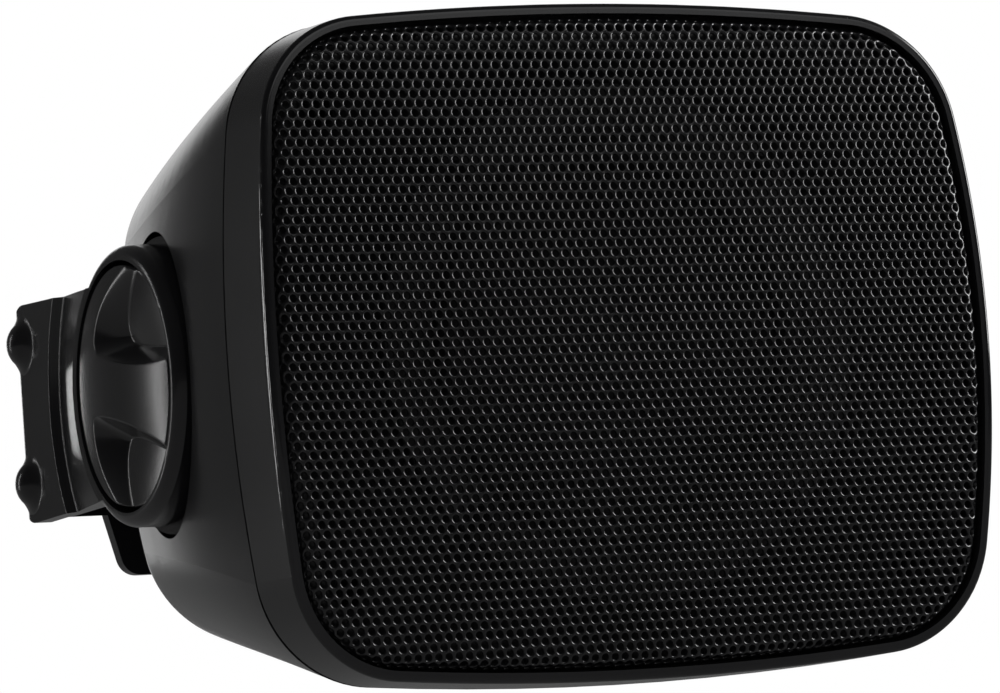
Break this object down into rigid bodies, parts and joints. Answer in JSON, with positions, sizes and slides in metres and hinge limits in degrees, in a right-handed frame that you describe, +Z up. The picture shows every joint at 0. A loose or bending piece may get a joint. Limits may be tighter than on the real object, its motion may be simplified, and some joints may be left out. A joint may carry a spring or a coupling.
{
  "type": "wall-mount loudspeaker",
  "caption": "Wall-mount loudspeaker: tapered satin-black cabinet behind a bowed perforated grille, held by clamping knobs in a U-shaped yoke so that it can tilt.",
  "frame": {"origin": "centre of the yoke's wall face, midway between its four screw holes", "axes": "+X to the right seen from the front, +Y from the front towards the wall, +Z up"},
  "size_m": [0.226, 0.1935, 0.186],
  "materials": {
    "cabinet_plastic": "fine moulded grain, satin",
    "grille_paint": "black powder coat",
    "foam_rubber": "matte foam",
    "zinc_steel": "zinc plated",
    "contact_brass": "plain turned and pressed",
    "basket_paint": "black paint",
    "surround_rubber": "moulded, satin",
    "cone_paper": "coated pulp",
    "former_foil": "plain foil",
    "coil_copper": "enamelled winding",
    "spider_cloth": "resin-stiffened cloth",
    "magnet_ferrite": "ground ferrite",
    "tag_board": "pressed board with tinned tabs",
    "lead_insulation": "smooth insulation",
    "terminal_plastic": "moulded",
    "lever_red": "moulded",
    "lever_black": "moulded"
  },
  "bodies": {
    "yoke": {"yoke_bracket": "cabinet_plastic"},
    "cabinet": {"front_baffle": "cabinet_plastic", "cabinet_shell": "cabinet_plastic", "grille": "grille_paint", "cabinet_seal": "foam_rubber", "driver_gasket": "foam_rubber", "friction_washer_left": "foam_rubber", "friction_washer_right": "foam_rubber", "baffle_screws": "zinc_steel", "driver_screws": "zinc_steel", "terminal_screws": "zinc_steel", "top_plate": "zinc_steel", "pole_yoke": "zinc_steel", "pivot_insert_left": "contact_brass", "pivot_insert_right": "contact_brass", "terminal_contacts": "contact_brass", "driver_basket": "basket_paint", "surround": "surround_rubber", "spider": "spider_cloth", "magnet": "magnet_ferrite", "driver_terminal": "tag_board", "lead_positive": "lead_insulation", "lead_negative": "lead_insulation", "terminal_cup": "terminal_plastic"},
    "cone": {"cone": "cone_paper", "dust_cap": "cone_paper", "voice_coil_former": "former_foil", "voice_coil": "coil_copper"},
    "knob_left": {"knob_left": "cabinet_plastic", "knob_stud_left": "zinc_steel"},
    "knob_right": {"knob_right": "cabinet_plastic", "knob_stud_right": "zinc_steel"},
    "lever_positive": {"lever_positive": "lever_red"},
    "lever_negative": {"lever_negative": "lever_black"}
  },
  "joints": [
    {"name": "tilt", "type": "hinge", "parent": "yoke", "child": "cabinet", "pos_m": [0, -0.0915, 0], "axis": [1, 0, 0], "range_deg": [-30, 30]},
    {"name": "knob_left_turn", "type": "hinge", "parent": "cabinet", "child": "knob_left", "pos_m": [-0.1, -0.0915, 0], "axis": [-1, 0, 0], "range_deg": [0, 360]},
    {"name": "knob_right_turn", "type": "hinge", "parent": "cabinet", "child": "knob_right", "pos_m": [0.1, -0.0915, 0], "axis": [1, 0, 0], "range_deg": [0, 360]},
    {"name": "cone_travel", "type": "slide", "parent": "cabinet", "child": "cone", "axis": [0, 1, 0], "range_m": [-0.004, 0.004], "stiffness_N_per_m": 1000, "deforming": ["surround", "spider"]},
    {"name": "lever_positive_press", "type": "hinge", "parent": "cabinet", "child": "lever_positive", "pos_m": [-0.008, -0.036, 0.007], "axis": [1, 0, 0], "range_deg": [-12, 0], "stiffness_Nm_per_rad": 0.3, "springref_deg": 5.73},
    {"name": "lever_negative_press", "type": "hinge", "parent": "cabinet", "child": "lever_negative", "pos_m": [0.008, -0.036, 0.007], "axis": [1, 0, 0], "range_deg": [-12, 0], "stiffness_Nm_per_rad": 0.3, "springref_deg": 5.73}
  ]
}
